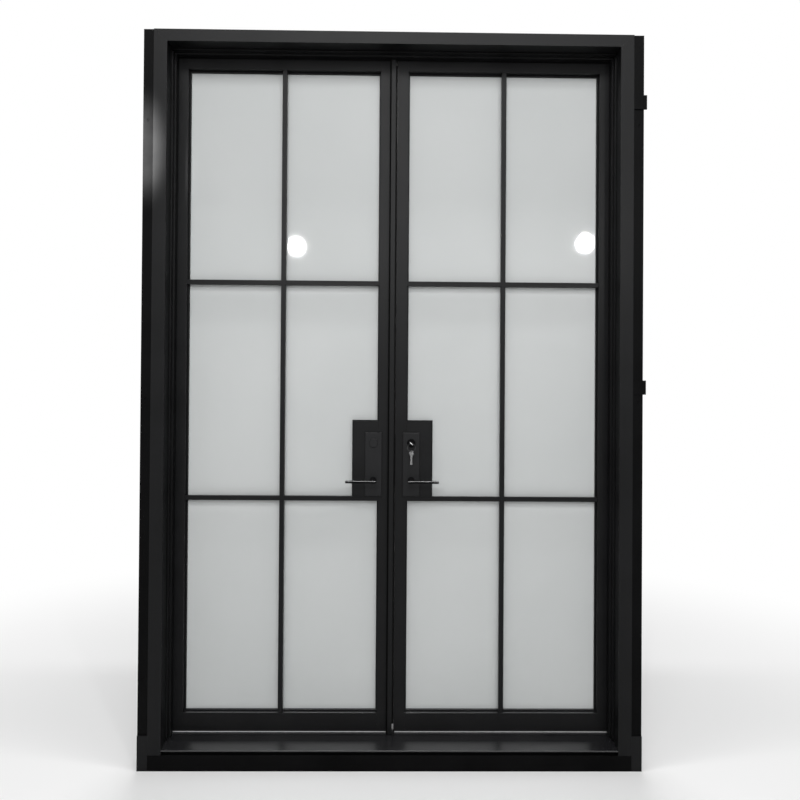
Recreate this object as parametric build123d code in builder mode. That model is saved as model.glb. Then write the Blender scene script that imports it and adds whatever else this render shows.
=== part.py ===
"""Steel french doors in their own frame: two glazed leaves that swing inwards.

X runs across the doorway, +Y goes from the outside to the inside, +Z is up.
The origin is the centre of the sill's underside.  Lengths are millimetres.
"""

import os

from build123d import *

# Outer frame
frame_width = 1590
frame_height = 2438
frame_depth = 152
jamb_face = 44
head_face = 40
frame_wall = 3

# Sill and threshold
sill_height = 52
threshold_recess = 12
threshold_lip = 4
threshold_rise = 14
threshold_crease_depth = 41
threshold_crease_rise = 9.5
threshold_overhang = 20

# Stops and seals
stop_depth = 42
stop_second_depth = 23
stop_first_step = 5.5
stop_second_step = 5
seal_width = 8
seal_clearance = 0.3
seal_thickness = 2.7

# Wall flanges, feet and tabs
flange_width = 34
flange_leg = 40
flange_thickness = 4
flange_setback = 4
foot_height = 115
fixing_hole_radius = 4
fixing_end_gap = 300
tab_width = 43
tab_height = 47
tab_thickness = 4
tab_drop = 224
tab_spacing = 948

# Leaves
leaf_thickness = 64
leaf_gap_side = 4
leaf_gap_top = 4
leaf_gap_bottom = 10
leaf_gap_centre = 20
leaf_wall = 3
hinge_stile_width = 39.5
meeting_stile_width = 38
top_rail_height = 42.5
bottom_rail_height = 58

# Bars in front of the glass
bar_width = 15.5
bar_recess = 2

# Glass and its beads
glass_setback = 24
glass_thickness = 20
glass_edge_gap = 3
front_bead_width = 4.5
front_bead_depth = 8
rear_bead_width = 14
weld_joint = 0.2

# Astragal on the left leaf
astragal_cap_width = 19
astragal_cap_depth = 12
astragal_reach = 14
astragal_web_depth = 46
astragal_drop = 9
astragal_top_gap = 2
strike_margin = 28

# Lock boxes
lock_box_width = 86
lock_box_height = 257
lock_box_wall = 3

# Lock cases
lock_case_width = 74
lock_case_depth = 30
lock_case_lift = 20
lock_case_headroom = 36

# Handle plates
plate_width = 57
plate_height = 217
plate_thickness = 8
plate_lift = 2
plate_edge = 1.5
axis_offset = 54.5

# Levers and spindles
lever_rise = 57
lever_reach = 91
lever_heel = 11
lever_thickness = 8
lever_depth = 22
lever_standoff = 44
lever_edge = 1.5
lever_neck_radius = 7.5
lever_collar_radius = 11
lever_collar_depth = 4
spindle_side = 8
spindle_entry = 20
hub_radius = 6

# Key cylinder
cylinder_rise = 126
cylinder_radius = 14.3
cylinder_proud = 3
plug_radius = 6.4
cover_radius = 15
cover_depth = 4
cover_edge = 1

# Thumb turn
turn_length = 26
turn_width = 9
turn_depth = 14
turn_neck_radius = 8
turn_neck_depth = 6

# Keys and their flat wire ring
key_bow_radius = 9.5
key_thickness = 2.4
key_blade_width = 8
key_blade_length = 25
key_neck = 4
key_hole_radius = 3
key_hole_offset = 5.5
key_tilt = -45
ring_radius = 13.5
ring_wire = 1.6

# Bolts
main_bolt_rise = 43
deadbolt_drop = 33
bolt_depth = 14
bolt_height = 24
bolt_length = 62
bolt_recess = 0.4
strike_clearance = 1.2
shoot_rod_radius = 5
shoot_tip_radius = 7
shoot_tip_length = 90
shoot_travel = 20
shoot_recess = 0.5
pocket_side = 17
pocket_depth = 17
drive_tab_height = 8
drive_tab_entry = 8
drive_top_rise = 128
drive_bottom_rise = 18

# Hinges
hinge_end_gap = 238
hinge_height = 110
hinge_plate_width = 32
hinge_plate_thickness = 4
barrel_radius = 9
barrel_gap = 0.5
knuckle_gap = 0.5
pin_radius = 5
pin_head_radius = 7
pin_head_height = 5
hinge_offset = 2
hinge_plate_gap = 2

# Fits
running_clearance = 0.08
sliding_clearance = 0.3

# Places worked out from the sizes above
front_y = -frame_depth / 2
rear_y = frame_depth / 2
leaf_front = rear_y - leaf_thickness
leaf_mid = (leaf_front + rear_y) / 2
jamb_out = frame_width / 2
jamb_in = jamb_out - jamb_face
head_low = frame_height - head_face
lip_low = sill_height + threshold_recess
lip_top = lip_low + threshold_lip
threshold_top = lip_top + threshold_rise
leaf_low = threshold_top + leaf_gap_bottom
leaf_high = head_low - leaf_gap_top
leaf_out = jamb_in - leaf_gap_side
leaf_edge = leaf_gap_centre / 2
light_out = leaf_out - hinge_stile_width
light_in = leaf_edge + meeting_stile_width
light_low = leaf_low + bottom_rail_height
light_high = leaf_high - top_rail_height
bar_middle = (light_out + light_in) / 2
row_height = (light_high - light_low - 2 * bar_width) / 3
lower_bar_low = light_low + row_height
upper_bar_low = lower_bar_low + bar_width + row_height
box_low = lower_bar_low + bar_width
box_high = box_low + lock_box_height
box_out = light_in + lock_box_width
glass_front = leaf_front + glass_setback
glass_rear = glass_front + glass_thickness
axis_x = leaf_edge + axis_offset
plate_low = box_low + plate_lift
plate_high = plate_low + plate_height
case_low = box_low + lock_case_lift
case_high = box_high - lock_case_headroom
case_out = light_in + lock_case_width
lever_height = box_low + lever_rise
cylinder_height = lever_height + cylinder_rise
main_bolt_place = lever_height + main_bolt_rise
deadbolt_place = cylinder_height - deadbolt_drop
drive_top_place = lever_height + drive_top_rise
drive_bottom_place = lever_height + drive_bottom_rise
pivot_x = jamb_in - hinge_offset
pivot_y = rear_y + barrel_radius + barrel_gap
rod_x = leaf_edge + meeting_stile_width / 2
astragal_right = astragal_reach - leaf_edge
sides = (("left", -1), ("right", 1))


def bar(x_span, y_span, z_span):
    """A straight rectangular bar between three pairs of planes."""
    with BuildPart() as piece:
        with BuildSketch(Plane.XY.offset(min(z_span))):
            with Locations((sum(x_span) / 2, sum(y_span) / 2)):
                Rectangle(abs(x_span[1] - x_span[0]), abs(y_span[1] - y_span[0]))
        extrude(amount=abs(z_span[1] - z_span[0]))
    return piece.part


def tube(x_span, y_span, z_span, wall):
    """A rectangular steel tube with its ends closed by plates of the same wall."""
    inner = []
    for span in (x_span, y_span, z_span):
        inner.append((min(span) + wall, max(span) - wall))
    with BuildPart() as piece:
        add(bar(x_span, y_span, z_span))
        add(bar(*inner), mode=Mode.SUBTRACT)
    return piece.part


def mitred_tube(corners, wall):
    """A frame tube whose front outline is given in X and Z, hollow inside."""
    with BuildPart() as piece:
        with BuildSketch(Plane.XZ.offset(-rear_y)) as outline:
            with BuildLine():
                Polyline(*corners, close=True)
            make_face()
        extrude(amount=frame_depth)
        with BuildSketch(Plane.XZ.offset(wall - rear_y)):
            offset(outline.sketch, amount=-wall)
        extrude(amount=frame_depth - 2 * wall, mode=Mode.SUBTRACT)
    return piece.part


def round_bar(plane, radius, length):
    """A round bar that starts on a plane and runs along its normal."""
    with BuildPart() as piece:
        with BuildSketch(plane):
            Circle(radius)
        extrude(amount=length)
    return piece.part


def along_y(x, y, z):
    """A plane at a point, facing inwards along +Y."""
    return Plane(origin=(x, y, z), x_dir=(1, 0, 0), z_dir=(0, 1, 0))


def write(piece, name):
    """Label a finished piece and write it to its own file."""
    piece.label = name
    export_step(piece, f"parts/{name}.step")


os.makedirs("parts", exist_ok=True)

# Jambs: mitred box tubes that stand on the sill base
for side_name, side in sides:
    jamb_corners = (
        (side * jamb_out, sill_height),
        (side * jamb_in, sill_height),
        (side * jamb_in, head_low),
        (side * jamb_out, frame_height),
    )
    with BuildPart() as jamb:
        add(mitred_tube(jamb_corners, frame_wall))
    write(jamb.part, f"{side_name}_jamb")

# Head: a mitred box tube, with a square pocket for the left leaf's top bolt
head_corners = (
    (-jamb_out, frame_height),
    (jamb_out, frame_height),
    (jamb_in, head_low),
    (-jamb_in, head_low),
)
with BuildPart() as head_jamb:
    add(mitred_tube(head_corners, frame_wall))
    with BuildSketch(Plane.XY.offset(head_low)):
        with Locations((-rod_x, leaf_mid)):
            Rectangle(pocket_side, pocket_side)
    extrude(amount=frame_wall, mode=Mode.SUBTRACT)
write(head_jamb.part, "head_jamb")

# Sill base: the closed tube that the whole frame stands on
with BuildPart() as sill_base:
    add(tube((-jamb_out, jamb_out), (front_y, rear_y), (0, sill_height), frame_wall))
write(sill_base.part, "sill_base")

# Threshold: a walking surface of two slopes, with a lip over a shadow recess
with BuildPart() as threshold:
    with BuildSketch(Plane.YZ.offset(-jamb_in)):
        with BuildLine():
            Polyline(
                (front_y, lip_low),
                (front_y, lip_top),
                (front_y + threshold_crease_depth, lip_top + threshold_crease_rise),
                (leaf_front, threshold_top),
                (rear_y, threshold_top),
                (rear_y, sill_height),
                (front_y + threshold_overhang, sill_height),
                (front_y + threshold_overhang, lip_low),
                close=True,
            )
        make_face()
    extrude(amount=2 * jamb_in)
    with BuildSketch(Plane.XY.offset(threshold_top)):
        with Locations((-rod_x, leaf_mid)):
            Rectangle(pocket_side, pocket_side)
    extrude(amount=-pocket_depth, mode=Mode.SUBTRACT)
write(threshold.part, "threshold")

# Stops: stepped bars welded inside both jambs and under the head
stop_rear = leaf_front - seal_clearance - seal_thickness
stop_front = stop_rear - stop_depth
stop_second_front = stop_rear - stop_second_depth
stop_reach = stop_first_step + stop_second_step
stop_steps = (
    (0, stop_front),
    (stop_first_step, stop_front),
    (stop_first_step, stop_second_front),
    (stop_reach, stop_second_front),
    (stop_reach, stop_rear),
    (0, stop_rear),
)
stop_head_low = head_low - stop_reach
with BuildPart() as frame_stops:
    for side_name, side in sides:
        with BuildSketch(Plane.XY.offset(threshold_top)):
            with BuildLine():
                Polyline(
                    *((side * (jamb_in - reach), depth) for reach, depth in stop_steps),
                    close=True,
                )
            make_face()
        extrude(amount=stop_head_low - weld_joint - threshold_top)
    with BuildSketch(Plane.YZ.offset(-jamb_in)):
        with BuildLine():
            Polyline(
                *((depth, head_low - reach) for reach, depth in stop_steps),
                close=True,
            )
        make_face()
    extrude(amount=2 * jamb_in)
write(frame_stops.part, "frame_stops")

# Seals: rubber strips on the stops, just clear of the closed leaves
seal_front = stop_rear
seal_rear = seal_front + seal_thickness
seal_in = jamb_in - seal_width
with BuildPart() as frame_seals:
    for side_name, side in sides:
        add(
            bar(
                (side * seal_in, side * jamb_in),
                (seal_front, seal_rear),
                (threshold_top, head_low - seal_width - weld_joint),
            )
        )
    add(bar((-jamb_in, jamb_in), (seal_front, seal_rear), (head_low - seal_width, head_low)))
write(frame_seals.part, "frame_seals")

# Wall flanges: steel angles outside both jambs, drilled for the wall screws
flange_front = front_y + flange_setback
flange_out = jamb_out + flange_width
hole_x = jamb_out + flange_thickness + (flange_width - flange_thickness) / 2
for side_name, side in sides:
    with BuildPart() as wall_flange:
        with BuildSketch(Plane.XY.offset(foot_height)):
            with BuildLine():
                Polyline(
                    (side * jamb_out, flange_front),
                    (side * flange_out, flange_front),
                    (side * flange_out, flange_front + flange_thickness),
                    (side * (jamb_out + flange_thickness), flange_front + flange_thickness),
                    (side * (jamb_out + flange_thickness), flange_front + flange_leg),
                    (side * jamb_out, flange_front + flange_leg),
                    close=True,
                )
            make_face()
        extrude(amount=frame_height - foot_height)
        with BuildSketch(Plane.XZ.offset(-flange_front)):
            for hole_z in (fixing_end_gap, frame_height / 2, frame_height - fixing_end_gap):
                with Locations((side * hole_x, hole_z)):
                    Circle(fixing_hole_radius)
        extrude(amount=-flange_thickness, mode=Mode.SUBTRACT)
    write(wall_flange.part, f"{side_name}_wall_flange")

# Feet: closed blocks that carry the flanges down to the floor
with BuildPart() as jamb_feet:
    for side_name, side in sides:
        add(
            tube(
                (side * jamb_out, side * flange_out),
                (front_y, flange_front + flange_leg),
                (0, foot_height),
                frame_wall,
            )
        )
write(jamb_feet.part, "jamb_feet")

# Wall tabs: flat plates on the face of the right flange
with BuildPart() as wall_tabs:
    upper_tab = frame_height - tab_drop
    for tab_middle in (upper_tab, upper_tab - tab_spacing):
        add(
            bar(
                (jamb_out, jamb_out + tab_width),
                (flange_front - tab_thickness, flange_front),
                (tab_middle - tab_height / 2, tab_middle + tab_height / 2),
            )
        )
write(wall_tabs.part, "wall_tabs")

# Hinges: three barrel hinges a side, two outer knuckles on the frame and one between on the leaf
lowest_hinge = leaf_low + hinge_end_gap
highest_hinge = leaf_high - hinge_end_gap - hinge_height
hinge_heights = (lowest_hinge, (lowest_hinge + highest_hinge) / 2, highest_hinge)
knuckle_height = (hinge_height - 2 * knuckle_gap) / 3
plate_start = barrel_radius + hinge_plate_gap


def hinge_half(side, away, low, knuckles):
    """One hinge plate with its knuckles; away is the way the plate runs from the pin."""
    near = side * pivot_x + away * plate_start
    far = near + away * hinge_plate_width
    with BuildPart() as half:
        add(
            bar(
                (near, far),
                (rear_y, rear_y + hinge_plate_thickness),
                (low, low + hinge_height),
            )
        )
        for knuckle in knuckles:
            knuckle_low = low + knuckle * (knuckle_height + knuckle_gap)
            add(
                bar(
                    (side * pivot_x, near),
                    (rear_y + barrel_gap, rear_y + hinge_plate_thickness),
                    (knuckle_low, knuckle_low + knuckle_height),
                )
            )
            barrel_plane = Plane((side * pivot_x, pivot_y, knuckle_low))
            add(round_bar(barrel_plane, barrel_radius, knuckle_height))
        bore_plane = Plane((side * pivot_x, pivot_y, low))
        add(
            round_bar(bore_plane, pin_radius + running_clearance, hinge_height),
            mode=Mode.SUBTRACT,
        )
    return half.part


with BuildPart() as frame_hinges:
    for side_name, side in sides:
        for hinge_low in hinge_heights:
            add(hinge_half(side, side, hinge_low, (0, 2)))
write(frame_hinges.part, "frame_hinges")

for side_name, side in sides:
    with BuildPart() as leaf_hinges:
        for hinge_low in hinge_heights:
            add(hinge_half(side, -side, hinge_low, (1,)))
    write(leaf_hinges.part, f"{side_name}_leaf_hinges")

with BuildPart() as hinge_pins:
    for side_name, side in sides:
        for hinge_low in hinge_heights:
            with BuildSketch(Plane((side * pivot_x, pivot_y, 0), x_dir=(1, 0, 0), z_dir=(0, -1, 0))):
                with BuildLine():
                    Polyline(
                        (0, hinge_low - pin_head_height),
                        (pin_head_radius, hinge_low - pin_head_height),
                        (pin_head_radius, hinge_low),
                        (pin_radius, hinge_low),
                        (pin_radius, hinge_low + hinge_height),
                        (pin_head_radius, hinge_low + hinge_height),
                        (pin_head_radius, hinge_low + hinge_height + pin_head_height),
                        (0, hinge_low + hinge_height + pin_head_height),
                        close=True,
                    )
                make_face()
            revolve(axis=Axis((side * pivot_x, pivot_y, 0), (0, 0, 1)))
write(hinge_pins.part, "hinge_pins")

# Leaf frames: welded tubes, the stiles full height and the rails between them
leaf_depth_span = (leaf_front, rear_y)
bolt_places = (main_bolt_place, deadbolt_place)
shoot_places = (drive_top_place, drive_bottom_place)


def slot_along_x(x_span, middle_z, depth, height):
    """The material that a slot along X takes out, centred in the leaf's thickness."""
    y_span = (leaf_mid - depth / 2, leaf_mid + depth / 2)
    return bar(x_span, y_span, (middle_z - height / 2, middle_z + height / 2))


for side_name, side in sides:
    with BuildPart() as hinge_stile:
        add(
            tube(
                (side * light_out, side * leaf_out),
                leaf_depth_span,
                (leaf_low, leaf_high),
                leaf_wall,
            )
        )
    write(hinge_stile.part, f"{side_name}_hinge_stile")

    with BuildPart() as meeting_stile:
        add(
            tube(
                (side * leaf_edge, side * light_in),
                leaf_depth_span,
                (leaf_low, leaf_high),
                leaf_wall,
            )
        )
        if side_name == "right":
            for bolt_place in bolt_places:
                add(
                    slot_along_x(
                        (leaf_edge, light_in),
                        bolt_place,
                        bolt_depth + 2 * sliding_clearance,
                        bolt_height + 2 * sliding_clearance,
                    ),
                    mode=Mode.SUBTRACT,
                )
        else:
            with BuildSketch(Plane.XY.offset(leaf_low)):
                with Locations((-rod_x, leaf_mid)):
                    Circle(shoot_tip_radius + sliding_clearance)
            extrude(amount=leaf_high - leaf_low, mode=Mode.SUBTRACT)
            for place, way in zip(shoot_places, (1, -1)):
                add(
                    slot_along_x(
                        (-light_in, -light_in + leaf_wall),
                        place + way * shoot_travel / 2,
                        drive_tab_height + 2 * sliding_clearance,
                        drive_tab_height + shoot_travel + 2 * sliding_clearance,
                    ),
                    mode=Mode.SUBTRACT,
                )
    write(meeting_stile.part, f"{side_name}_meeting_stile")

    rail_span = (side * light_in, side * light_out)
    with BuildPart() as top_rail:
        add(tube(rail_span, leaf_depth_span, (light_high, leaf_high), leaf_wall))
    write(top_rail.part, f"{side_name}_top_rail")

    with BuildPart() as bottom_rail:
        add(tube(rail_span, leaf_depth_span, (leaf_low, light_low), leaf_wall))
    write(bottom_rail.part, f"{side_name}_bottom_rail")

# Bars: slim steel strips in front of the glass, the cross bars cut to meet the upright
bar_span = (leaf_front + bar_recess, glass_front - front_bead_depth)
for side_name, side in sides:
    upright_in = bar_middle - bar_width / 2
    upright_out = bar_middle + bar_width / 2
    with BuildPart() as upright_bar:
        add(bar((side * upright_in, side * upright_out), bar_span, (light_low, light_high)))
    write(upright_bar.part, f"{side_name}_upright_bar")

    with BuildPart() as cross_bars:
        for bar_low in (lower_bar_low, upper_bar_low):
            for near, far in ((light_in, upright_in), (upright_out, light_out)):
                add(bar((side * near, side * far), bar_span, (bar_low, bar_low + bar_width)))
    write(cross_bars.part, f"{side_name}_cross_bars")

# Glass: one frosted sealed unit a leaf, notched round the lock box
for side_name, side in sides:
    glass_in = light_in + glass_edge_gap
    glass_out = light_out - glass_edge_gap
    glass_low = light_low + glass_edge_gap
    glass_high = light_high - glass_edge_gap
    with BuildPart() as glass:
        with BuildSketch(Plane.XZ.offset(-glass_rear)):
            with BuildLine():
                Polyline(
                    (side * glass_in, glass_low),
                    (side * glass_out, glass_low),
                    (side * glass_out, glass_high),
                    (side * glass_in, glass_high),
                    (side * glass_in, box_high + glass_edge_gap),
                    (side * (box_out + glass_edge_gap), box_high + glass_edge_gap),
                    (side * (box_out + glass_edge_gap), box_low - glass_edge_gap),
                    (side * glass_in, box_low - glass_edge_gap),
                    close=True,
                )
            make_face()
        extrude(amount=glass_thickness)
    write(glass.part, f"{side_name}_glass")

# Glazing beads: square strips before and behind the glass, round the leaf and the lock box
for side_name, side in sides:
    with BuildPart() as glazing_beads:
        bead_rows = (
            (glass_front - front_bead_depth, glass_front, front_bead_width),
            (glass_rear, rear_y, rear_bead_width),
        )
        for bead_front, bead_rear, bead in bead_rows:
            bead_end = bead + weld_joint
            bead_strips = (
                (light_in, light_out, light_low, light_low + bead),
                (light_in, light_out, light_high - bead, light_high),
                (light_out - bead, light_out, light_low + bead_end, light_high - bead_end),
                (light_in, light_in + bead, light_low + bead_end, box_low - bead_end),
                (light_in, light_in + bead, box_high + bead_end, light_high - bead_end),
                (light_in, box_out + bead, box_low - bead, box_low),
                (light_in, box_out + bead, box_high, box_high + bead),
                (box_out, box_out + bead, box_low + weld_joint, box_high - weld_joint),
            )
            for near, far, low, high in bead_strips:
                add(bar((side * near, side * far), (bead_front, bead_rear), (low, high)))
    write(glazing_beads.part, f"{side_name}_glazing_beads")

# Astragal: a flat cap bar over the meeting gap, welded to a web bar on the left leaf's edge
strike_low = main_bolt_place - bolt_height / 2 - strike_margin
strike_high = deadbolt_place + bolt_height / 2 + strike_margin
web_rear = leaf_front + astragal_web_depth
with BuildPart() as astragal_cap:
    add(
        bar(
            (astragal_right - astragal_cap_width, astragal_right),
            (leaf_front - astragal_cap_depth, leaf_front),
            (leaf_low - astragal_drop, stop_head_low - astragal_top_gap),
        )
    )
write(astragal_cap.part, "astragal_cap")

with BuildPart() as astragal_web:
    for low, high in ((leaf_low, strike_low), (strike_high, leaf_high)):
        add(bar((-leaf_edge, astragal_right), (leaf_front, web_rear), (low, high)))
write(astragal_web.part, "astragal_web")

# Strike block: cheek bars and spacers welded up in the web, with a slot for each of the right leaf's bolts
strike_span = (-leaf_edge, astragal_right)
slot_front = leaf_mid - bolt_depth / 2 - strike_clearance
slot_rear = leaf_mid + bolt_depth / 2 + strike_clearance
slot_half = bolt_height / 2 + strike_clearance
spacer_ends = (
    (strike_low, main_bolt_place - slot_half),
    (main_bolt_place + slot_half, deadbolt_place - slot_half),
    (deadbolt_place + slot_half, strike_high),
)
with BuildPart() as strike_block:
    for cheek in ((leaf_front, slot_front), (slot_rear, web_rear)):
        add(bar(strike_span, cheek, (strike_low, strike_high)))
    for spacer in spacer_ends:
        add(bar(strike_span, (slot_front + weld_joint, slot_rear - weld_joint), spacer))
write(strike_block.part, "strike_block")

# Lock boxes: folded steel boxes, open towards the stile that they are welded to
for side_name, side in sides:
    with BuildPart() as lock_box:
        add(bar((side * light_in, side * box_out), leaf_depth_span, (box_low, box_high)))
        add(
            bar(
                (side * light_in, side * (box_out - lock_box_wall)),
                (leaf_front + lock_box_wall, rear_y - lock_box_wall),
                (box_low + lock_box_wall, box_high - lock_box_wall),
            ),
            mode=Mode.SUBTRACT,
        )
        with BuildSketch(along_y(side * axis_x, leaf_front, 0)):
            with Locations((0, -lever_height)):
                Circle(lever_neck_radius)
            if side_name == "right":
                with Locations((0, -cylinder_height)):
                    Circle(cylinder_radius + sliding_clearance)
        extrude(amount=leaf_thickness, mode=Mode.SUBTRACT)
    write(lock_box.part, f"{side_name}_lock_box")

# Lock cases: closed cases against the stile, bored for the spindle, with the bolts' channels
for side_name, side in sides:
    with BuildPart() as lock_case:
        case_depth_span = (leaf_mid - lock_case_depth / 2, leaf_mid + lock_case_depth / 2)
        add(bar((side * light_in, side * case_out), case_depth_span, (case_low, case_high)))
        with BuildSketch(along_y(side * axis_x, case_depth_span[0], 0)):
            with Locations((0, -lever_height)):
                Circle(hub_radius)
            if side_name == "right":
                with Locations((0, -cylinder_height)):
                    Circle(cylinder_radius + sliding_clearance)
        extrude(amount=lock_case_depth, mode=Mode.SUBTRACT)
        if side_name == "right":
            channel_end = leaf_edge + bolt_recess + bolt_length + sliding_clearance
            for bolt_place in bolt_places:
                add(
                    slot_along_x(
                        (light_in, channel_end),
                        bolt_place,
                        bolt_depth + 2 * sliding_clearance,
                        bolt_height + 2 * sliding_clearance,
                    ),
                    mode=Mode.SUBTRACT,
                )
        else:
            for place, way in zip(shoot_places, (1, -1)):
                add(
                    slot_along_x(
                        (-light_in, -light_in - drive_tab_entry - sliding_clearance),
                        place + way * shoot_travel / 2,
                        drive_tab_height + 2 * sliding_clearance,
                        drive_tab_height + shoot_travel + 2 * sliding_clearance,
                    ),
                    mode=Mode.SUBTRACT,
                )
    write(lock_case.part, f"{side_name}_lock_case")

# Bolts of the right leaf: flat bars that slide out of the meeting stile into the strike block
bolt_start = leaf_edge + bolt_recess
for bolt_name, bolt_place in (("main_bolt", main_bolt_place), ("deadbolt", deadbolt_place)):
    with BuildPart() as bolt:
        add(slot_along_x((bolt_start, bolt_start + bolt_length), bolt_place, bolt_depth, bolt_height))
    write(bolt.part, bolt_name)

# Shoot bolts of the left leaf: round rods in the meeting stile, with a tab into the lock case
shoot_rows = (
    ("top_shoot_bolt", drive_top_place - drive_tab_height / 2, leaf_high - shoot_recess, 1),
    ("bottom_shoot_bolt", drive_bottom_place + drive_tab_height / 2, leaf_low + shoot_recess, -1),
)
for shoot_name, inner_end, tip_end, way in shoot_rows:
    with BuildPart() as shoot_bolt:
        rod_plane = Plane((-rod_x, leaf_mid, inner_end), z_dir=(0, 0, way))
        add(round_bar(rod_plane, shoot_rod_radius, abs(tip_end - inner_end)))
        tip_plane = Plane((-rod_x, leaf_mid, tip_end), z_dir=(0, 0, -way))
        add(round_bar(tip_plane, shoot_tip_radius, shoot_tip_length))
        tab_middle = inner_end + way * drive_tab_height / 2
        tab_span = (-rod_x, -light_in - drive_tab_entry)
        add(slot_along_x(tab_span, tab_middle, drive_tab_height, drive_tab_height))
    write(shoot_bolt.part, shoot_name)

# Handle plates: long flat plates on both faces of each lock box
for side_name, side in sides:
    for face_name, plate_front in (("outer", leaf_front - plate_thickness), ("inner", rear_y)):
        with BuildPart() as handle_plate:
            with BuildSketch(along_y(side * axis_x, plate_front, 0)):
                with Locations((0, -(plate_low + plate_high) / 2)):
                    Rectangle(plate_width, plate_height)
            extrude(amount=plate_thickness)
            show_faces = handle_plate.faces().sort_by(Axis.Y)
            show_face = show_faces[0] if face_name == "outer" else show_faces[-1]
            fillet(show_face.edges(), plate_edge)
            with BuildSketch(along_y(side * axis_x, plate_front, 0)):
                with Locations((0, -lever_height)):
                    Circle(lever_neck_radius + running_clearance)
                if side_name == "right":
                    with Locations((0, -cylinder_height)):
                        Circle(cylinder_radius + sliding_clearance)
            extrude(amount=plate_thickness, mode=Mode.SUBTRACT)
        write(handle_plate.part, f"{side_name}_{face_name}_plate")

# Levers: forged flat bars on a round neck, pointing away from the meeting stiles
for side_name, side in sides:
    for face_name, facing, leaf_face in (("outer", -1, leaf_front), ("inner", 1, rear_y)):
        plate_face = leaf_face + facing * plate_thickness
        bar_near = plate_face + facing * lever_standoff
        bar_far = bar_near + facing * lever_depth
        with BuildPart() as lever:
            bar_length = lever_reach + lever_heel
            bar_centre = axis_x + (lever_reach - lever_heel) / 2
            with BuildSketch(along_y(side * bar_centre, min(bar_near, bar_far), lever_height)):
                Rectangle(bar_length, lever_thickness)
            extrude(amount=lever_depth)
            chamfer(lever.edges(), lever_edge)
            neck_start = leaf_face + facing * sliding_clearance
            neck_plane = Plane((side * axis_x, neck_start, lever_height), z_dir=(0, facing, 0))
            add(round_bar(neck_plane, lever_neck_radius, abs(bar_near - neck_start) + lever_edge))
            collar_start = plate_face + facing * sliding_clearance
            collar_plane = Plane((side * axis_x, collar_start, lever_height), z_dir=(0, facing, 0))
            add(round_bar(collar_plane, lever_collar_radius, lever_collar_depth))
            socket_y = (leaf_face, leaf_face + facing * spindle_entry)
            socket_x = (side * axis_x - spindle_side / 2, side * axis_x + spindle_side / 2)
            socket_z = (lever_height - spindle_side / 2, lever_height + spindle_side / 2)
            add(bar(socket_x, socket_y, socket_z), mode=Mode.SUBTRACT)
        write(lever.part, f"{side_name}_{face_name}_lever")

    with BuildPart() as spindle:
        spindle_span = (leaf_front - spindle_entry, rear_y + spindle_entry)
        add(bar(socket_x, spindle_span, socket_z))
    write(spindle.part, f"{side_name}_spindle")

# Blank cover: a round disc on the left plate, where the right one has its cylinder
with BuildPart() as blank_cover:
    cover_plane = Plane(
        (-axis_x, leaf_front - plate_thickness, cylinder_height), z_dir=(0, -1, 0)
    )
    add(round_bar(cover_plane, cover_radius, cover_depth))
    chamfer(blank_cover.faces().sort_by(Axis.Y)[0].edges(), cover_edge)
write(blank_cover.part, "blank_cover")

# Key cylinder: a round body through both plates, with a plug that the key turns
cylinder_front = leaf_front - plate_thickness - cylinder_proud
cylinder_rear = rear_y + plate_thickness + cylinder_proud
cylinder_length = cylinder_rear - cylinder_front
cylinder_plane = along_y(axis_x, cylinder_front, cylinder_height)
with BuildPart() as cylinder_body:
    with BuildSketch(cylinder_plane):
        Circle(cylinder_radius)
        Circle(plug_radius + running_clearance, mode=Mode.SUBTRACT)
    extrude(amount=cylinder_length)
write(cylinder_body.part, "cylinder_body")

key_hole_y = cylinder_front - key_neck - key_bow_radius - key_hole_offset
key_plane = Plane((axis_x, key_hole_y, cylinder_height), x_dir=(1, 0, 0), z_dir=(0, 0, -1))
key_plane = key_plane.rotated((0, -key_tilt, 0))
spare_plane = Plane(
    (axis_x, key_hole_y, cylinder_height - 2 * ring_radius), x_dir=(-1, 1, 0), z_dir=(1, 1, 0)
)
key_blade_end = key_hole_offset + key_bow_radius + key_neck + key_blade_length


def flat_key(plane):
    """A flat key: a round bow with a hole at the plane's origin, and a straight blade."""
    with BuildPart() as key_piece:
        with BuildSketch(plane):
            with Locations((0, -key_hole_offset)):
                Circle(key_bow_radius)
            with Locations((0, -(key_hole_offset + key_blade_end) / 2)):
                Rectangle(key_blade_width, key_blade_end - key_hole_offset)
            Circle(key_hole_radius, mode=Mode.SUBTRACT)
        extrude(amount=key_thickness / 2, both=True)
    return key_piece.part


with BuildPart() as key:
    add(flat_key(key_plane))
write(key.part, "key")

with BuildPart() as spare_key:
    add(flat_key(spare_plane))
write(spare_key.part, "spare_key")

ring_plane = along_y(axis_x, key_hole_y, cylinder_height - ring_radius)
with BuildPart() as key_ring:
    with BuildSketch(ring_plane):
        Circle(ring_radius + ring_wire / 2)
        Circle(ring_radius - ring_wire / 2, mode=Mode.SUBTRACT)
    extrude(amount=ring_wire / 2, both=True)
write(key_ring.part, "key_ring")

with BuildPart() as cylinder_plug:
    add(round_bar(cylinder_plane, plug_radius, cylinder_length + sliding_clearance))
    add(flat_key(key_plane), mode=Mode.SUBTRACT)
write(cylinder_plug.part, "cylinder_plug")

# Thumb turn: a flat oval grip on the inner end of the plug
turn_plane = along_y(axis_x, cylinder_rear + sliding_clearance, cylinder_height)
with BuildPart() as thumb_turn:
    add(round_bar(turn_plane, turn_neck_radius, turn_neck_depth))
    with BuildSketch(turn_plane.offset(turn_neck_depth)):
        SlotOverall(turn_length, turn_width)
    extrude(amount=turn_depth)
write(thumb_turn.part, "thumb_turn")
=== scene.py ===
"""Looks of a pair of black steel french doors: coats, glass, seals, screws and studio.

Lengths are metres.  X runs across the doorway, +Y goes from the outside to the inside, +Z is up.
"""

import math

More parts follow.
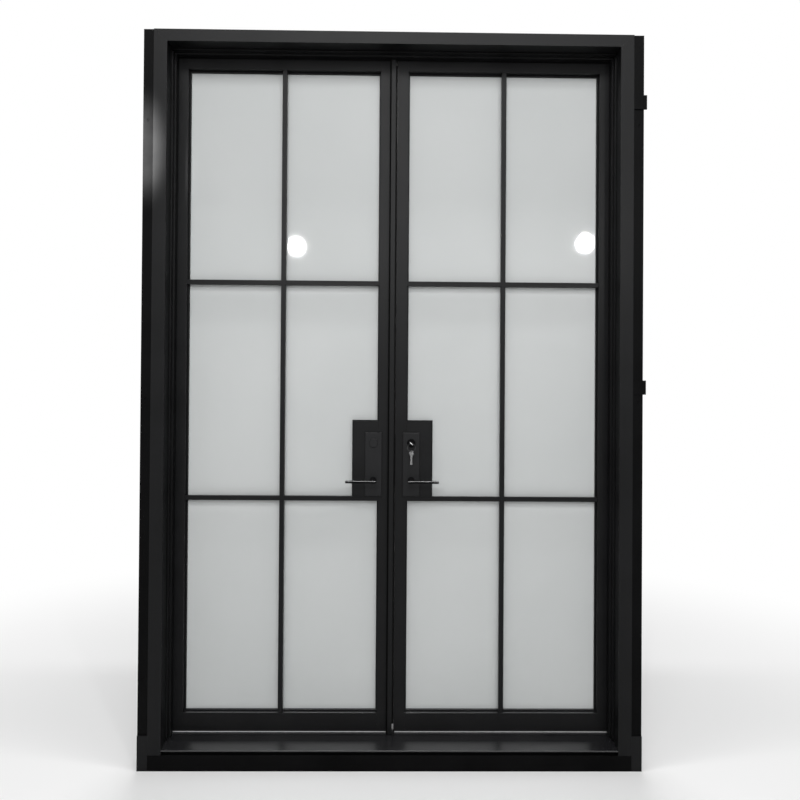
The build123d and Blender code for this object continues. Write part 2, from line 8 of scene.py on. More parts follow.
import bmesh
import bpy
from mathutils import Matrix, Vector


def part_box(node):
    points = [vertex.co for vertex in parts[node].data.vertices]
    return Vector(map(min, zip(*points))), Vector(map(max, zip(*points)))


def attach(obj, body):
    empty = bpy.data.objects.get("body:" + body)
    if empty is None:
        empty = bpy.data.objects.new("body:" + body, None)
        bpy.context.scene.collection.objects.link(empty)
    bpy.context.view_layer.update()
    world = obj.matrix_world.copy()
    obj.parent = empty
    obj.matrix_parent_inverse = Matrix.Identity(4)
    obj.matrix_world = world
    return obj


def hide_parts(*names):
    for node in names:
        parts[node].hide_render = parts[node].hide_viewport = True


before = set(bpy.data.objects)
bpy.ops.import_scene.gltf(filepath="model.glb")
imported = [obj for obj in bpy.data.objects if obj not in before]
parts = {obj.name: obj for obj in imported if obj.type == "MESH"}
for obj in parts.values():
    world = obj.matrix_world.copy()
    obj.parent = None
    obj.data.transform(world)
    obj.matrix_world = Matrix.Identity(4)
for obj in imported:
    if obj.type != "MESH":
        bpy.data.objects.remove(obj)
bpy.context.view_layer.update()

# Outer frame: two jambs and a head of steel box tube, mitred and welded, on a closed sill tube.
# The welds are ground flat and the whole frame is powder coated in satin black.
# Short square feet of the same tube close the lower ends of the wall flanges.


def new_material(name):
    """A material with its node tree, its shader and the surface's own coordinates."""
    material = bpy.data.materials.new(name)
    material.use_nodes = True
    tree = material.node_tree
    place = tree.nodes.new("ShaderNodeTexCoord").outputs["Object"]
    return material, tree, tree.nodes["Principled BSDF"], place


def noise(tree, place, scale, detail, stretch=(1, 1, 1)):
    """A noise pattern, with its scale in waves per metre."""
    mapping = tree.nodes.new("ShaderNodeMapping")
    mapping.inputs["Scale"].default_value = stretch
    pattern = tree.nodes.new("ShaderNodeTexNoise")
    pattern.inputs["Scale"].default_value = scale
    pattern.inputs["Detail"].default_value = detail
    tree.links.new(place, mapping.inputs["Vector"])
    tree.links.new(mapping.outputs["Vector"], pattern.inputs["Vector"])
    return pattern.outputs["Fac"]


def spread(tree, pattern, low, high, target):
    """Run a pattern between two values or colours into a shader's socket."""
    pattern_low = 0.3
    pattern_high = 0.7
    if isinstance(low, tuple):
        ramp = tree.nodes.new("ShaderNodeValToRGB")
        ramp.color_ramp.elements[0].position = pattern_low
        ramp.color_ramp.elements[1].position = pattern_high
        ramp.color_ramp.elements[0].color = (*low, 1)
        ramp.color_ramp.elements[1].color = (*high, 1)
        tree.links.new(pattern, ramp.inputs["Fac"])
        tree.links.new(ramp.outputs["Color"], target)
    else:
        ramp = tree.nodes.new("ShaderNodeMapRange")
        ramp.inputs["From Min"].default_value = pattern_low
        ramp.inputs["From Max"].default_value = pattern_high
        ramp.inputs["To Min"].default_value = low
        ramp.inputs["To Max"].default_value = high
        tree.links.new(pattern, ramp.inputs["Value"])
        tree.links.new(ramp.outputs["Result"], target)


def relief(tree, pattern, depth, shader, edge_radius=0):
    """Bump from a pattern, over edges that are rounded by a small radius."""
    bump = tree.nodes.new("ShaderNodeBump")
    bump.inputs["Distance"].default_value = depth
    tree.links.new(pattern, bump.inputs["Height"])
    if edge_radius:
        edge = tree.nodes.new("ShaderNodeBevel")
        edge.inputs["Radius"].default_value = edge_radius
        tree.links.new(edge.outputs["Normal"], bump.inputs["Normal"])
    tree.links.new(bump.outputs["Normal"], shader.inputs["Normal"])


def powder_coat(name, dark, light, gloss, specular):
    """Powder coat on steel: cloudy tone, uneven gloss, orange peel and soft edges."""
    cloud_scale = 7
    peel_scale = 480
    peel_depth = 0.00004
    edge_radius = 0.0012
    material, tree, shader, place = new_material(name)
    shader.inputs["Specular IOR Level"].default_value = specular
    clouds = noise(tree, place, cloud_scale, detail=5)
    spread(tree, clouds, dark, light, shader.inputs["Base Color"])
    spread(tree, clouds, *gloss, shader.inputs["Roughness"])
    peel = noise(tree, place, peel_scale, detail=2)
    relief(tree, peel, peel_depth, shader, edge_radius)
    return material


def dress(names, material):
    """Give a finish to the pieces named."""
    for name in names:
        for finish in parts[name].material_slots:
            finish.material = material


satin_black = powder_coat(
    "satin_black_coat",
    dark=(0.0038, 0.0039, 0.0042),
    light=(0.0058, 0.0059, 0.0064),
    gloss=(0.36, 0.44),
    specular=0.13,
)
dress(("left_jamb", "right_jamb", "head_jamb", "jamb_feet"), satin_black)

# Threshold: a bent steel plate that slopes to the outside, with a lip over a shadow recess.
# Its coat is smoother than the frame's, so it mirrors the glass and the bottom rails.
threshold_black = powder_coat(
    "threshold_coat",
    dark=(0.008, 0.008, 0.009),
    light=(0.012, 0.012, 0.013),
    gloss=(0.19, 0.27),
    specular=0.85,
)
dress(("threshold",), threshold_black)

# Stops: stepped steel bars welded inside the frame, coated with it.
# They stand in the reveal's shade and show only their thin front edges.
dress(("frame_stops",), satin_black)

# Seals: hollow rubber bulbs pushed onto the stops, on both jambs and under the head.
# The closed leaves stop a hair before them, so the round side faces the leaf.


def finish_piece(shape, name, material, body):
    """Turn a finished bmesh into a piece that rides on a body."""
    mesh = bpy.data.meshes.new(name)
    shape.to_mesh(mesh)
    shape.free()
    mesh.materials.append(material)
    piece = bpy.data.objects.new(name, mesh)
    bpy.context.scene.collection.objects.link(piece)
    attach(piece, body)
    return piece


def black_rubber_and_shade(name, dark, light, specular):
    """Matt black with a fine grain: rubber, and also a sheet of painted shade."""
    grain_scale = 900
    grain_depth = 0.00003
    roughness = (0.65, 0.85)
    material, tree, shader, place = new_material(name)
    shader.inputs["Specular IOR Level"].default_value = specular
    grain = noise(tree, place, grain_scale, detail=3)
    spread(tree, grain, dark, light, shader.inputs["Base Color"])
    spread(tree, grain, *roughness, shader.inputs["Roughness"])
    relief(tree, grain, grain_depth, shader)
    return material


def half_round(shape, start, end, across, bulge):
    """Add a half-round strip from start to end; across and bulge are its half width and its height."""
    run = end - start
    strip = bmesh.ops.create_cone(
        shape, segments=24, radius1=1, radius2=1, depth=run.length, cap_ends=True
    )["verts"]
    axes = Matrix((across, bulge, run.normalized())).transposed().to_4x4()
    bmesh.ops.transform(shape, matrix=Matrix.Translation((start + end) / 2) @ axes, verts=strip)
    faces = {face for corner in strip for face in corner.link_faces}
    edges = {edge for corner in strip for edge in corner.link_edges}
    cut = bmesh.ops.bisect_plane(
        shape,
        geom=strip + list(edges) + list(faces),
        plane_co=start,
        plane_no=-bulge,
        clear_outer=True,
    )["geom_cut"]
    bmesh.ops.holes_fill(shape, edges=[item for item in cut if isinstance(item, bmesh.types.BMEdge)])


rubber = black_rubber_and_shade(
    "seal_rubber",
    dark=(0.012, 0.012, 0.012),
    light=(0.022, 0.022, 0.021),
    specular=0.3,
)
side_names = ("left", "right")
side_signs = (-1, 1)
sides = tuple(zip(side_names, side_signs))
seal_foot = 0.008
seal_low, seal_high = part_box("frame_seals")
seal_half = (seal_high.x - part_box("frame_stops")[1].x + seal_foot) / 2
seal_bulge = Vector((0, seal_high.y - seal_low.y, 0))
seal = bmesh.new()
for side in side_signs:
    seal_x = side * (seal_high.x - seal_half)
    half_round(
        seal,
        Vector((seal_x, seal_low.y, seal_low.z)),
        Vector((seal_x, seal_low.y, seal_high.z - 2 * seal_half)),
        Vector((seal_half, 0, 0)),
        seal_bulge,
    )
half_round(
    seal,
    Vector((seal_low.x, seal_low.y, seal_high.z - seal_half)),
    Vector((seal_high.x, seal_low.y, seal_high.z - seal_half)),
    Vector((0, 0, seal_half)),
    seal_bulge,
)
bmesh.ops.recalc_face_normals(seal, faces=seal.faces)
bulb_seal = finish_piece(seal, "bulb_seal", rubber, "frame")
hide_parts("frame_seals")

# Wall flanges, tabs and sill: steel angles, flat plates and a closed tube that the building covers. The
# flanges and tabs are in a smooth black primer, because the wall's finish hides most of them. The sill tube
# gets the same darker primer as painted shade, which stands for the shadow and the dark floor's reflection
# on its low front face. Three screws in the same primer hold each flange to the wall.


def socket_screw(shape, centre, radius, facing):
    """Add a countersunk head that faces a given way, with a socket in its middle."""
    proud = 0.0004
    sunk = 0.0012
    rim_radius = radius * 0.94
    socket_radius = radius * 0.48
    socket_draft = radius * 0.04
    socket_depth = radius * 0.35
    turn = Vector((0, 0, 1)).rotation_difference(facing).to_matrix().to_4x4()
    head = bmesh.ops.create_cone(
        shape, segments=18, radius1=radius, radius2=rim_radius, depth=proud + sunk, cap_ends=True
    )["verts"]
    faces = {face for corner in head for face in corner.link_faces}
    top = max(faces, key=lambda face: face.calc_center_median().z)
    bmesh.ops.inset_individual(shape, faces=[top], thickness=radius - socket_radius)
    bmesh.ops.inset_individual(shape, faces=[top], thickness=socket_draft, depth=-socket_depth)
    corners = list(top.verts)
    ring = set(head) | set(corners)
    for corner in corners:
        ring.update(edge.other_vert(corner) for edge in corner.link_edges)
    middle = centre + facing * (proud - sunk) / 2
    bmesh.ops.transform(shape, matrix=Matrix.Translation(middle) @ turn, verts=list(ring))


def screw_group(name, centres, radius, facing, material, body):
    """One piece that holds all the screws of a kind on a body."""
    shape = bmesh.new()
    for centre in centres:
        socket_screw(shape, Vector(centre), radius, facing)
    finish_piece(shape, name, material, body)


primer_black_and_sill_shade = powder_coat(
    "flange_primer_and_sill_shade",
    dark=(0.0015, 0.0015, 0.0016),
    light=(0.0032, 0.0032, 0.0034),
    gloss=(0.34, 0.44),
    specular=0.04,
)
# On sill_base this darker primer is painted shade on its low front face.
dress(("left_wall_flange", "right_wall_flange", "wall_tabs", "sill_base"), primer_black_and_sill_shade)
outwards = Vector((0, -1, 0))
wall_screw_radius = 0.0062
wall_screw_inset = 0.015
wall_screw_end = 0.300
flange_low, flange_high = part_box("right_wall_flange")
wall_screw_x = flange_high.x - wall_screw_inset
wall_screw_heights = (wall_screw_end, flange_high.z / 2, flange_high.z - wall_screw_end)
screw_group(
    "wall_screws",
    [(side * wall_screw_x, flange_low.y, z) for side in side_signs for z in wall_screw_heights],
    wall_screw_radius,
    outwards,
    primer_black_and_sill_shade,
    "frame",
)

# Hinges: three steel barrel hinges a side, with loose pins, on the inner face of frame and leaf.
# Each half is held by three countersunk screws with a socket, blackened like the plates.


def plated_metal(name, dark, light, gloss, grain_stretch):
    """Bare or plated metal with fine drawn lines along one way."""
    line_scale = 60
    line_depth = 0.000012
    edge_radius = 0.0004
    material, tree, shader, place = new_material(name)
    shader.inputs["Metallic"].default_value = 1
    lines = noise(tree, place, line_scale, detail=4, stretch=grain_stretch)
    spread(tree, lines, dark, light, shader.inputs["Base Color"])
    spread(tree, lines, *gloss, shader.inputs["Roughness"])
    relief(tree, lines, line_depth, shader, edge_radius)
    return material


zinc_steel = plated_metal(
    "zinc_steel",
    dark=(0.40, 0.41, 0.42),
    light=(0.56, 0.56, 0.57),
    gloss=(0.26, 0.42),
    grain_stretch=(1, 1, 12),
)
blackened_screw = plated_metal(
    "blackened_screw",
    dark=(0.03, 0.03, 0.032),
    light=(0.07, 0.07, 0.07),
    gloss=(0.3, 0.45),
    grain_stretch=(1, 1, 1),
)
dress(("hinge_pins",), zinc_steel)
hinge_names = ("frame_hinges", "left_leaf_hinges", "right_leaf_hinges")
dress(hinge_names, satin_black)
inwards = Vector((0, 1, 0))
hinge_screw_radius = 0.0042
hinge_height = 0.110
hinge_plate_half = 0.016
hinge_plate_thickness = 0.004
screw_shares = (0.16, 0.5, 0.84)
hinge_low, hinge_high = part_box("frame_hinges")
hinge_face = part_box("left_inner_plate")[0].y + hinge_plate_thickness
hinge_lows = (hinge_low.z, (hinge_low.z + hinge_high.z - hinge_height) / 2, hinge_high.z - hinge_height)
screw_heights = [low + share * hinge_height for low in hinge_lows for share in screw_shares]
frame_screw_x = hinge_high.x - hinge_plate_half
screw_group(
    "frame_hinge_screws",
    [(side * frame_screw_x, hinge_face, z) for side in side_signs for z in screw_heights],
    hinge_screw_radius,
    inwards,
    blackened_screw,
    "frame",
)
leaf_screw_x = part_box("right_leaf_hinges")[0].x + hinge_plate_half
for side_name, side in sides:
    screw_group(
        f"{side_name}_hinge_screws",
        [(side * leaf_screw_x, hinge_face, z) for z in screw_heights],
        hinge_screw_radius,
        inwards,
        blackened_screw,
        f"{side_name}_leaf",
    )

# Leaves: steel box tube stiles and rails, welded and ground, with slim flat bars before the glass.
# One upright and two cross bars a leaf make six lights, all coated with the leaf.
leaf_steel = ("hinge_stile", "meeting_stile", "top_rail", "bottom_rail", "upright_bar", "cross_bars")
for side_name in side_names:
    dress([f"{side_name}_{piece}" for piece in leaf_steel], satin_black)

# Glass: one sealed unit a leaf, acid etched inside so that it is white and no one sees through.
# Its outer face is smooth and mirrors lamps over the even, slightly cloudy white.


def frosted_glass(name):
    """Etched white glass under a smooth face."""
    cloud_scale = 1.6
    etch_scale = 1400
    grey_white = (0.485, 0.502, 0.500)
    pale_white = (0.525, 0.540, 0.538)
    etch_roughness = (0.42, 0.6)
    etch_specular = 0.1
    face_weight = 0.8
    face_roughness = 0.035
    material, tree, shader, place = new_material(name)
    shader.inputs["Specular IOR Level"].default_value = etch_specular
    shader.inputs["Coat Weight"].default_value = face_weight
    shader.inputs["Coat Roughness"].default_value = face_roughness
    clouds = noise(tree, place, cloud_scale, detail=2)
    etching = noise(tree, place, etch_scale, detail=2)
    spread(tree, clouds, grey_white, pale_white, shader.inputs["Base Color"])
    spread(tree, etching, *etch_roughness, shader.inputs["Roughness"])
    return material


dress(("left_glass", "right_glass"), frosted_glass("frosted_glass"))

# Glazing beads: square steel strips that hold the glass, the outer ones welded to the leaf.
# The inner ones come off to change the glass, and are held by small countersunk screws.
bead_screw_radius = 0.0028
bead_screw_spacing = 0.29
bead_half = 0.007
bead_low, bead_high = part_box("right_glazing_beads")
box_low, box_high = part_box("right_lock_box")


def along(start, end, spacing):
    """Places from start to end, evenly spaced and half a space clear of both ends."""
    count = max(1, round((end - start) / spacing))
    return [start + (end - start) * (step + 0.5) / count for step in range(count)]


for side_name, side in sides:
    dress((f"{side_name}_glazing_beads",), satin_black)
    inner_x, outer_x = bead_low.x + bead_half, bead_high.x - bead_half
    rows = [(outer_x, z) for z in along(bead_low.z, bead_high.z, bead_screw_spacing)]
    rows += [(inner_x, z) for z in along(bead_low.z, box_low.z, bead_screw_spacing)]
    rows += [(inner_x, z) for z in along(box_high.z, bead_high.z, bead_screw_spacing)]
    for z in (bead_low.z + bead_half, bead_high.z - bead_half):
        rows += [(x, z) for x in along(bead_low.x, bead_high.x, bead_screw_spacing)]
    rows += [(box_high.x + bead_half, z) for z in along(box_low.z, box_high.z, bead_screw_spacing / 2)]
    screw_group(
        f"{side_name}_bead_screws",
        [(side * x, bead_high.y, z) for x, z in rows],
        bead_screw_radius,
        inwards,
        blackened_screw,
        f"{side_name}_leaf",
    )

# Brush sweeps: a strip of pale grey pile in a black carrier, let into each leaf's underside.
# It closes most of the gap over the threshold and shows as a pale line under the bottom rails.


def pale_pile(name):
    """Grey nylon pile: fine upright fibres."""
    fibre_scale = 40
    fibre_stretch = (40, 40, 1)
    fibre_depth = 0.0002
    fibre_specular = 0.2
    roughness = (0.7, 0.9)
    mid_grey = (0.40, 0.40, 0.41)
    pale_grey = (0.66, 0.66, 0.67)
    material, tree, shader, place = new_material(name)
    shader.inputs["Specular IOR Level"].default_value = fibre_specular
    fibres = noise(tree, place, fibre_scale, detail=3, stretch=fibre_stretch)
    spread(tree, fibres, mid_grey, pale_grey, shader.inputs["Base Color"])
    spread(tree, fibres, *roughness, shader.inputs["Roughness"])
    relief(tree, fibres, fibre_depth, shader)
    return material


pile_grey = pale_pile("sweep_pile")
sweep_front = 0.003
sweep_depth = 0.006
sweep_gap = 0.001
sweep_margin = 0.003
pile_height = 0.0032
pile_ripple = 0.0005
pile_steps = 180
long_waves = 911
short_waves = 1733
short_wave_start = 1
threshold_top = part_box("threshold")[1].z
rail_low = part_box("right_bottom_rail")[0]
leaf_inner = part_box("right_meeting_stile")[0].x + sweep_margin
leaf_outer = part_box("right_hinge_stile")[1].x - sweep_margin
pile_low = threshold_top + sweep_gap
pile_high = pile_low + pile_height
sweep_y = rail_low.y + sweep_front
sweep_rear = sweep_y + sweep_depth


def block(shape, low, high):
    """Add a rectangular block between two corners."""
    corners = bmesh.ops.create_cube(shape, size=1)["verts"]
    bmesh.ops.scale(shape, vec=high - low, verts=corners)
    bmesh.ops.translate(shape, vec=(low + high) / 2, verts=corners)


for side_name, side in sides:
    near_x, far_x = sorted((side * leaf_inner, side * leaf_outer))
    carrier = bmesh.new()
    block(carrier, Vector((near_x, sweep_y, pile_high)), Vector((far_x, sweep_rear, rail_low.z)))
    finish_piece(carrier, f"{side_name}_sweep_carrier", rubber, f"{side_name}_leaf")
    pile = bmesh.new()
    block(pile, Vector((near_x, sweep_y, pile_low)), Vector((far_x, sweep_rear, pile_high)))
    lengthwise = [edge for edge in pile.edges if edge.calc_length() > (far_x - near_x) / 2]
    bmesh.ops.subdivide_edges(pile, edges=lengthwise, cuts=pile_steps, use_grid_fill=True)
    for corner in pile.verts:
        if corner.co.z < (pile_low + pile_high) / 2:
            wave = math.sin(corner.co.x * long_waves)
            wave += math.sin(corner.co.x * short_waves + short_wave_start)
            share = wave / 4 + 0.5
            corner.co.z += pile_ripple * share
    finish_piece(pile, f"{side_name}_brush_sweep", pile_grey, f"{side_name}_leaf")

# Inner bars: flat steel bars stuck to the glass inside with tape, opposite the outer ones.
# With them each leaf's one pane looks like six from both sides.
inner_bar_depth = 0.012
bead_width = 2 * bead_half
upright_low, upright_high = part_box("right_upright_bar")
cross_low, cross_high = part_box("right_cross_bars")
glass_low, glass_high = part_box("right_glass")
bar_width = upright_high.x - upright_low.x
bar_rear = glass_high.y + inner_bar_depth
upper_low, lower_high = cross_high.z - bar_width, cross_low.z + bar_width
bar_end = cross_high.x - bead_width
runs = [
    (upright_low.x, upright_high.x, upright_low.z + bead_width, upright_high.z - bead_width),
    (cross_low.x + bead_width, upright_low.x, upper_low, cross_high.z),
    (upright_high.x, bar_end, upper_low, cross_high.z),
    (box_high.x + bead_width, upright_low.x, cross_low.z, lower_high),
    (upright_high.x, bar_end, cross_low.z, lower_high),
]
for side_name, side in sides:
    inner_bars = bmesh.new()
    for near, far, low, high in runs:
        near_x, far_x = sorted((side * near, side * far))
        block(inner_bars, Vector((near_x, glass_high.y, low)), Vector((far_x, bar_rear, high)))
    finish_piece(inner_bars, f"{side_name}_inner_bars", satin_black, f"{side_name}_leaf")

# Bottom ledges: thin steel strips laid over the bottom bead and the top of the rail, before the glass.
# Their smooth coat sheds rain, and mirrors the glass as a grey line along the foot of each leaf.
ledge_thickness = 0.0006
front_bead_width = 0.0045
ledge_steps = ((0, rail_low.y, bead_low.y), (front_bead_width, bead_low.y, glass_low.y))
for side_name, side in sides:
    ledges = bmesh.new()
    for inset, front, rear in ledge_steps:
        low = bead_low.z + inset
        spans = ((bead_low.x + inset, upright_low.x), (upright_high.x, bead_high.x - inset))
        for near, far in spans:
            near_x, far_x = sorted((side * near, side * far))
            block(ledges, Vector((near_x, front, low)), Vector((far_x, rear, low + ledge_thickness)))
    finish_piece(ledges, f"{side_name}_bottom_ledges", threshold_black, f"{side_name}_leaf")

# Astragal: a flat steel cap welded to a web on the left leaf's edge, which covers most of the meeting gap.
# Blackened steel bars welded into the web make the strike for the right leaf's two bolts.
dress(("astragal_cap", "astragal_web"), satin_black)
dress(("strike_block",), blackened_screw)

# Cap shade strip: a thin near-black matt sheet along the left edge of the cap, lapping onto it and onto the
# stile. It is painted shade where the cap's edge meets the stile, and shows as a thin dark line as deep in
# tone as the meeting gap.
painted_shade_black = black_rubber_and_shade(
    "painted_shade_sheet",
    dark=(0.0012, 0.0012, 0.0012),
    light=(0.0024, 0.0024, 0.0024),
    specular=0.02,
)
shade_strip_proud = 0.001
shade_strip_lap = 0.004
shade_strip_end = 0.002
cap_low, cap_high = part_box("astragal_cap")
shade_strip_low, shade_strip_high = cap_low.z + shade_strip_end, cap_high.z - shade_strip_end
shade_strip_left, cap_front = cap_low.x - shade_strip_proud, cap_low.y
stile_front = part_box("left_meeting_stile")[0].y
shade_strip = bmesh.new()
block(
    shade_strip,
    Vector((shade_strip_left, cap_front - shade_strip_proud, shade_strip_low)),
    Vector((cap_low.x + shade_strip_lap, cap_front, shade_strip_high)),
)
block(shade_strip, Vector((shade_strip_left, cap_front, shade_strip_low)), Vector((cap_low.x, stile_front, shade_strip_high)))
# This strip is painted shade along the cap's left edge.
finish_piece(shade_strip, "cap_shade_strip", painted_shade_black, "left_leaf")

# Meeting seal: a thin rubber fin on the web that closes the last of the gap to the right leaf.
# It is soft, so either leaf passes it, and it shows only as a dark line beside the cap.
fin_clear = 0.0001
fin_front, fin_rear = 0.0555, 0.0578
web_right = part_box("astragal_web")[1].x
right_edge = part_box("right_meeting_stile")[0].x
leaf_bottom, leaf_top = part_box("left_meeting_stile")
fin = bmesh.new()
block(
    fin,
    Vector((web_right, fin_front, leaf_bottom.z)),
    Vector((right_edge - fin_clear, fin_rear, leaf_top.z)),
)
finish_piece(fin, "meeting_seal", rubber, "left_leaf")

# Locks: a steel box welded into each leaf takes a plated lock case.
# The left case drives two shoot bolts in the stile, and the right one two flat bolts.
dress(("left_lock_box", "right_lock_box"), satin_black)
dress(("left_lock_case", "right_lock_case"), zinc_steel)
dress(("main_bolt", "deadbolt", "top_shoot_bolt", "bottom_shoot_bolt"), zinc_steel)

# Lock forend: a thin black-coated strip on the right leaf's edge, with a slot for each bolt.
# Two countersunk screws hold it to the stile, at its top and its bottom.
forend_thickness = 0.0015
forend_front, forend_rear = 0.0335, 0.0545
forend_end = 0.052
forend_screw_inset = forend_end / 3
slot_clear = 0.0005
forend_screw_radius = 0.004
leftwards = Vector((-1, 0, 0))
forend_left = right_edge - forend_thickness
main_low, main_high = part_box("main_bolt")
dead_low, dead_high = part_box("deadbolt")
slot_front, slot_rear = main_low.y - slot_clear, main_high.y + slot_clear
forend_low, forend_high = main_low.z - forend_end, dead_high.z + forend_end
main_slot_low, main_slot_high = main_low.z - slot_clear, main_high.z + slot_clear
dead_slot_low, dead_slot_high = dead_low.z - slot_clear, dead_high.z + slot_clear
strips = [
    (forend_front, slot_front, forend_low, forend_high),
    (slot_rear, forend_rear, forend_low, forend_high),
    (slot_front, slot_rear, forend_low, main_slot_low),
    (slot_front, slot_rear, main_slot_high, dead_slot_low),
    (slot_front, slot_rear, dead_slot_high, forend_high),
]
forend = bmesh.new()
for front, rear, low, high in strips:
    block(forend, Vector((forend_left, front, low)), Vector((right_edge, rear, high)))
finish_piece(forend, "lock_forend", satin_black, "right_leaf")
forend_middle = (forend_front + forend_rear) / 2
screw_group(
    "forend_screws",
    [
        (forend_left, forend_middle, forend_low + forend_screw_inset),
        (forend_left, forend_middle, forend_high - forend_screw_inset),
    ],
    forend_screw_radius,
    leftwards,
    blackened_screw,
    "right_leaf",
)

# Handle plates: long flat steel plates with eased edges, one on each face of both lock boxes.
# Screws from the inner plates draw each pair together, so the outer plates show none.
plate_black = powder_coat(
    "plate_coat",
    dark=(0.0065, 0.0066, 0.0072),
    light=(0.0090, 0.0091, 0.0100),
    gloss=(0.32, 0.40),
    specular=0.18,
)
plate_screw_radius = 0.0045
plate_screw_inset = 0.011
for side_name in side_names:
    dress((f"{side_name}_outer_plate", f"{side_name}_inner_plate"), plate_black)
    plate_low, plate_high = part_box(f"{side_name}_inner_plate")
    plate_middle = (plate_low.x + plate_high.x) / 2
    screw_group(
        f"{side_name}_plate_screws",
        [
            (plate_middle, plate_high.y, plate_low.z + plate_screw_inset),
            (plate_middle, plate_high.y, plate_high.z - plate_screw_inset),
        ],
        plate_screw_radius,
        inwards,
        blackened_screw,
        f"{side_name}_leaf",
    )

# Levers: flat steel bars on round necks, lifted to throw the bolts.
# A square spindle through the lock case joins the outer lever to the inner one.
# Hands have worn the coat smooth along their upper faces.


def wear_top(material, specular, worn_specular):
    """Make a coat shinier where it faces up."""
    tree = material.node_tree
    facing = tree.nodes.new("ShaderNodeSeparateXYZ")
    surface = tree.nodes.new("ShaderNodeTexCoord")
    tree.links.new(surface.outputs["Normal"], facing.inputs["Vector"])
    shine = tree.nodes["Principled BSDF"].inputs["Specular IOR Level"]
    spread(tree, facing.outputs["Z"], specular, worn_specular, shine)


lever_specular = 0.03
worn_specular = 0.55
lever_black = powder_coat(
    "lever_coat",
    dark=(0.0030, 0.0030, 0.0034),
    light=(0.0050, 0.0050, 0.0055),
    gloss=(0.20, 0.28),
    specular=lever_specular,
)
wear_top(lever_black, lever_specular, worn_specular)
for side_name in side_names:
    dress((f"{side_name}_outer_lever", f"{side_name}_inner_lever"), lever_black)
    dress((f"{side_name}_spindle",), zinc_steel)
dress(("blank_cover",), plate_black)

# Key cylinder: a black cylinder through the right plates, coated like the levers, with a thumb turn inside.
# One nickel-plated key is in its plug, and a spare one hangs from it on a ring of blackened wire.
nickel = plated_metal(
    "nickel_plate",
    dark=(0.62, 0.62, 0.63),
    light=(0.78, 0.78, 0.78),
    gloss=(0.14, 0.26),
    grain_stretch=(1, 1, 8),
)
dress(("key", "spare_key"), nickel)
dress(("cylinder_body", "cylinder_plug", "thumb_turn"), lever_black)
dress(("key_ring",), blackened_screw)

# Studio: a pale floor that fades into a white background, with a softbox before and behind the doors.
# A strip lamp hangs over the head, and an upright one in front lightens the meeting stiles.
# Two small round lamps far in front show in the glass, and a narrow spot lights the left jamb.


def ways_of_seeing(tree):
    """1 for rays from the camera, from gloss and through glass, otherwise 0."""
    path = tree.nodes.new("ShaderNodeLightPath")
    seen = path.outputs["Is Camera Ray"]
    for name in ("Is Glossy Ray", "Is Transmission Ray"):
        either = tree.nodes.new("ShaderNodeMath")
        either.operation = "MAXIMUM"
        tree.links.new(seen, either.inputs[0])
        tree.links.new(path.outputs[name], either.inputs[1])
        seen = either.outputs["Value"]
    return seen


floor_tone = (0.88, 0.88, 0.88, 1)
floor_roughness = 0.9
floor_half = 20
fade_from = 1.0
fade_to = 3.2
floor_shape = bmesh.new()
bmesh.ops.create_grid(floor_shape, x_segments=1, y_segments=1, size=floor_half)
floor_mesh = bpy.data.meshes.new("floor")
floor_shape.to_mesh(floor_mesh)
floor_shape.free()
floor_paint, floor_tree, floor_shader, floor_place = new_material("floor_paint")
floor_shader.inputs["Base Color"].default_value = floor_tone
floor_shader.inputs["Roughness"].default_value = floor_roughness
floor_shader.inputs["Specular IOR Level"].default_value = 0
distance = floor_tree.nodes.new("ShaderNodeVectorMath")
distance.operation = "LENGTH"
fade = floor_tree.nodes.new("ShaderNodeMapRange")
fade.interpolation_type = "SMOOTHSTEP"
fade.inputs["From Min"].default_value = fade_from
fade.inputs["From Max"].default_value = fade_to
seen_fade = floor_tree.nodes.new("ShaderNodeMath")
seen_fade.operation = "MULTIPLY"
white = floor_tree.nodes.new("ShaderNodeEmission")
blend = floor_tree.nodes.new("ShaderNodeMixShader")
floor_tree.links.new(floor_place, distance.inputs[0])
floor_tree.links.new(distance.outputs["Value"], fade.inputs["Value"])
floor_tree.links.new(fade.outputs["Result"], seen_fade.inputs[0])
floor_tree.links.new(ways_of_seeing(floor_tree), seen_fade.inputs[1])
floor_tree.links.new(seen_fade.outputs["Value"], blend.inputs["Fac"])
floor_tree.links.new(floor_shader.outputs["BSDF"], blend.inputs[1])
floor_tree.links.new(white.outputs["Emission"], blend.inputs[2])
floor_tree.links.new(blend.outputs["Shader"], floor_tree.nodes["Material Output"].inputs["Surface"])
floor_mesh.materials.append(floor_paint)
floor = bpy.data.objects.new("floor", floor_mesh)
bpy.context.scene.collection.objects.link(floor)

sky_strength = 0.22
plain_white = (1, 1, 1, 1)
world = bpy.data.worlds.new("studio")
world.use_nodes = True
bpy.context.scene.world = world
sky_tree = world.node_tree
sky = sky_tree.nodes["Background"]
sky.inputs["Color"].default_value = plain_white
sky.inputs["Strength"].default_value = sky_strength
backdrop = sky_tree.nodes.new("ShaderNodeBackground")
backdrop.inputs["Color"].default_value = plain_white
either_sky = sky_tree.nodes.new("ShaderNodeMixShader")
sky_tree.links.new(ways_of_seeing(sky_tree), either_sky.inputs["Fac"])
sky_tree.links.new(sky.outputs["Background"], either_sky.inputs[1])
sky_tree.links.new(backdrop.outputs["Background"], either_sky.inputs[2])
sky_tree.links.new(either_sky.outputs["Shader"], sky_tree.nodes["World Output"].inputs["Surface"])


def set_up(name, data, place, aim):
    """Put a lamp at a place, facing a point and hidden from the camera."""
    holder = bpy.data.objects.new(name, data)
    holder.location = place
    holder.rotation_euler = (Vector(aim) - Vector(place)).to_track_quat("-Z", "Y").to_euler()
    holder.visible_camera = False
    bpy.context.scene.collection.objects.link(holder)
    return holder


def area_lamp(name, shape, place, aim, width, height, power):
    """A flat lamp that faces a point."""
    data = bpy.data.lights.new(name, "AREA")
    data.shape = shape
    data.size = width
    data.size_y = height
    data.energy = power
    set_up(name, data, place, aim)


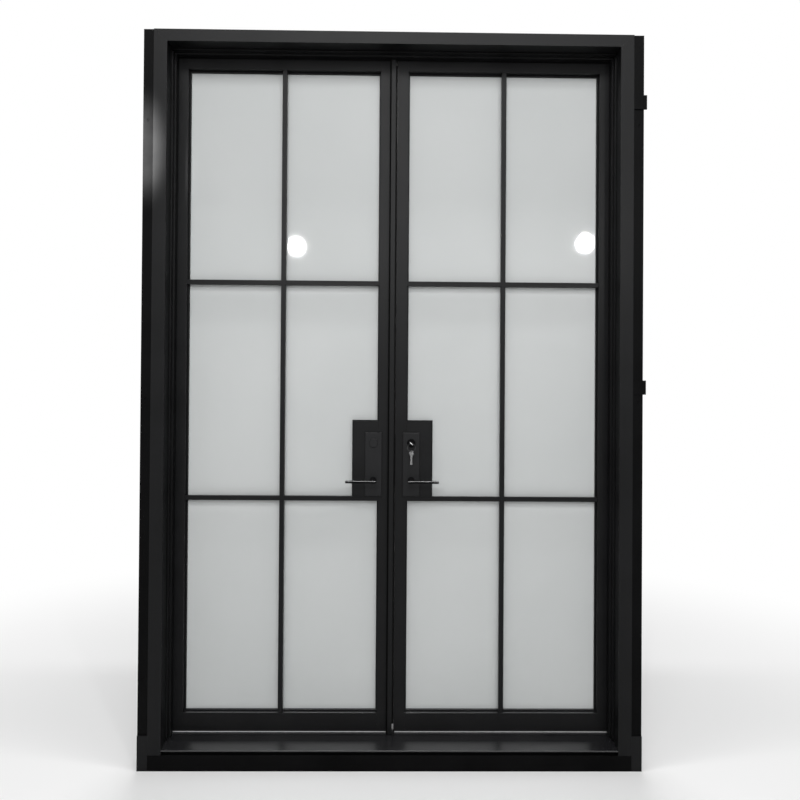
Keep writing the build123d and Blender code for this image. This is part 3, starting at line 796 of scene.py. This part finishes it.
doors_middle = (0, 0, 1.3)
glass_middle = (0, 0, 1.5)
meeting_upper = (0, 0, 1.9)
jamb_upper = (-0.835, -0.07, 2.05)
strip_foot = (0, -0.42, 0)
area_lamp("softbox", "RECTANGLE", (0, -4.5, 5.4), doors_middle, width=5, height=1.2, power=145)
area_lamp("rear_softbox", "RECTANGLE", (0, 4.8, 5.4), doors_middle, width=6, height=3, power=210)
area_lamp("overhead_strip", "RECTANGLE", (0, -0.42, 4.2), strip_foot, width=1.8, height=0.15, power=40)
area_lamp("upright_strip", "RECTANGLE", (0, -4.27, 3.3), meeting_upper, width=0.12, height=2, power=34)
area_lamp("left_spot", "DISK", (-0.98, -4.27, 2.79), glass_middle, width=0.17, height=0.17, power=24)
area_lamp("right_spot", "DISK", (1.94, -4.27, 2.85), glass_middle, width=0.17, height=0.17, power=24)
accent_power = 560
accent_cone = math.radians(4.6)
accent_radius = 0.03
accent = bpy.data.lights.new("accent_spot", "SPOT")
accent.energy = accent_power
accent.spot_size = accent_cone
accent.spot_blend = 1
accent.shadow_soft_size = accent_radius
tall_oval = (0.8, 1.9, 1)
set_up("accent_spot", accent, (-1.68, -2.3, 2.95), jamb_upper).scale = tall_oval

# Camera: at the photograph's viewing point, a little over 2 m before the doors and 1.2 m up.
# Its focal length, in pixels of the square picture, and its slight tilts were fitted to the frame's edges.
image_side = 800
focal_pixels = 652.78
sensor_width = 36
camera_place = Vector((-0.0008, -2.227, 1.2037))
yaw, pitch, roll = math.radians(0.662), math.radians(0.417), math.radians(-0.395)
level = Vector((math.cos(yaw), -math.sin(yaw), 0))
ahead = Vector((math.sin(yaw) * math.cos(pitch), math.cos(yaw) * math.cos(pitch), math.sin(pitch)))
upright = level.cross(ahead)
to_right = math.cos(roll) * level - math.sin(roll) * upright
to_top = math.sin(roll) * level + math.cos(roll) * upright
lens = bpy.data.cameras.new("camera")
lens.sensor_width = sensor_width
lens.lens = focal_pixels / image_side * sensor_width
camera = bpy.data.objects.new("camera", lens)
turn = Matrix((to_right, to_top, -ahead)).transposed().to_4x4()
camera.matrix_world = Matrix.Translation(camera_place) @ turn
bpy.context.scene.collection.objects.link(camera)
bpy.context.scene.camera = camera
bpy.context.scene.view_settings.view_transform = "Standard"
